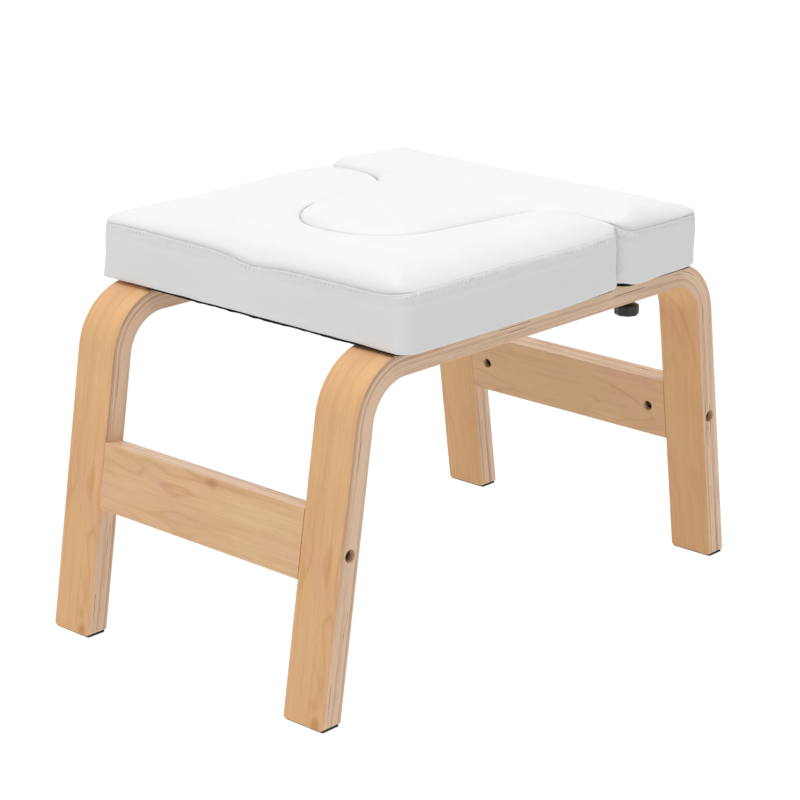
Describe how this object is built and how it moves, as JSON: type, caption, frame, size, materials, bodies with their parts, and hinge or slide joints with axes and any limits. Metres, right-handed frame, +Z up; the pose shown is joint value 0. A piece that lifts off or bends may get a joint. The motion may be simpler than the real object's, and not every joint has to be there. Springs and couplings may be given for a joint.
{
  "type": "yoga headstand stool",
  "caption": "Low stool for supported headstands: two splayed bent-ply frames carry a horseshoe shoulder cushion and a lift-off cushion that fills it.",
  "frame": {"origin": "on the floor, midway between the four feet", "axes": "+Z up, +Y along the rails towards the lift-off cushion's end, +X across the two frames towards the right-hand frame"},
  "size_m": [0.392, 0.61, 0.396],
  "materials": {
    "bent_ply": "satin",
    "dowel_wood": "matte",
    "board": "matte",
    "cover": "satin",
    "foam": "matte",
    "dust_cloth": "matte",
    "foot_rubber": "matte",
    "hardware_steel": "satin",
    "knob_plastic": "matte"
  },
  "bodies": {
    "stool": {"frame_right": "bent_ply", "frame_left": "bent_ply", "stretcher_front": "bent_ply", "stretcher_rear": "bent_ply", "foot_pad_front_right": "foot_rubber", "foot_pad_front_left": "foot_rubber", "foot_pad_rear_right": "foot_rubber", "foot_pad_rear_left": "foot_rubber", "frame_bolt_front_right": "hardware_steel", "frame_bolt_front_left": "hardware_steel", "frame_bolt_rear_right": "hardware_steel", "frame_bolt_rear_left": "hardware_steel", "barrel_nut_front_right": "hardware_steel", "barrel_nut_front_left": "hardware_steel", "barrel_nut_rear_right": "hardware_steel", "barrel_nut_rear_left": "hardware_steel", "dowel_front_right_upper": "dowel_wood", "dowel_front_right_lower": "dowel_wood", "dowel_front_left_upper": "dowel_wood", "dowel_front_left_lower": "dowel_wood", "dowel_rear_right_upper": "dowel_wood", "dowel_rear_right_lower": "dowel_wood", "dowel_rear_left_upper": "dowel_wood", "dowel_rear_left_lower": "dowel_wood", "shoulder_cover": "cover", "shoulder_foam": "foam", "shoulder_board": "board", "shoulder_dust_cloth": "dust_cloth", "shoulder_tee_nut_front_right": "hardware_steel", "shoulder_tee_nut_middle_right": "hardware_steel", "shoulder_tee_nut_front_left": "hardware_steel", "shoulder_tee_nut_middle_left": "hardware_steel", "cushion_bolt_front_right": "hardware_steel", "cushion_bolt_middle_right": "hardware_steel", "cushion_bolt_front_left": "hardware_steel", "cushion_bolt_middle_left": "hardware_steel", "cushion_washer_front_right": "hardware_steel", "cushion_washer_middle_right": "hardware_steel", "cushion_washer_front_left": "hardware_steel", "cushion_washer_middle_left": "hardware_steel"},
    "seat_insert": {"insert_cover": "cover", "insert_foam": "foam", "insert_board": "board", "insert_dust_cloth": "dust_cloth", "insert_tee_nut_right": "hardware_steel", "insert_tee_nut_left": "hardware_steel"},
    "right_washer": {"knob_washer_right": "hardware_steel"},
    "right_knob": {"knob_head_right": "knob_plastic", "knob_stud_right": "hardware_steel"},
    "left_washer": {"knob_washer_left": "hardware_steel"},
    "left_knob": {"knob_head_left": "knob_plastic", "knob_stud_left": "hardware_steel"}
  },
  "joints": [
    {"name": "insert_lift", "type": "slide", "parent": "stool", "child": "seat_insert", "axis": [0, 0, 1], "range_m": [0, 0.12]},
    {"name": "right_knob_travel", "type": "slide", "parent": "stool", "child": "right_washer", "axis": [0, 0, -1], "range_m": [0, 0.006]},
    {"name": "right_knob_turn", "type": "hinge", "parent": "right_washer", "child": "right_knob", "pos_m": [0.1555, 0.15279, 0.296], "axis": [0, 0, -1], "range_deg": [0, 2160]},
    {"name": "left_knob_travel", "type": "slide", "parent": "stool", "child": "left_washer", "axis": [0, 0, -1], "range_m": [0, 0.006]},
    {"name": "left_knob_turn", "type": "hinge", "parent": "left_washer", "child": "left_knob", "pos_m": [-0.1555, 0.15279, 0.296], "axis": [0, 0, -1], "range_deg": [0, 2160]}
  ],
  "couplings": [
    {"joint": "right_knob_travel", "follows": "right_knob_turn", "m_per_rad": 0.00015915},
    {"joint": "left_knob_travel", "follows": "left_knob_turn", "m_per_rad": 0.00015915}
  ]
}
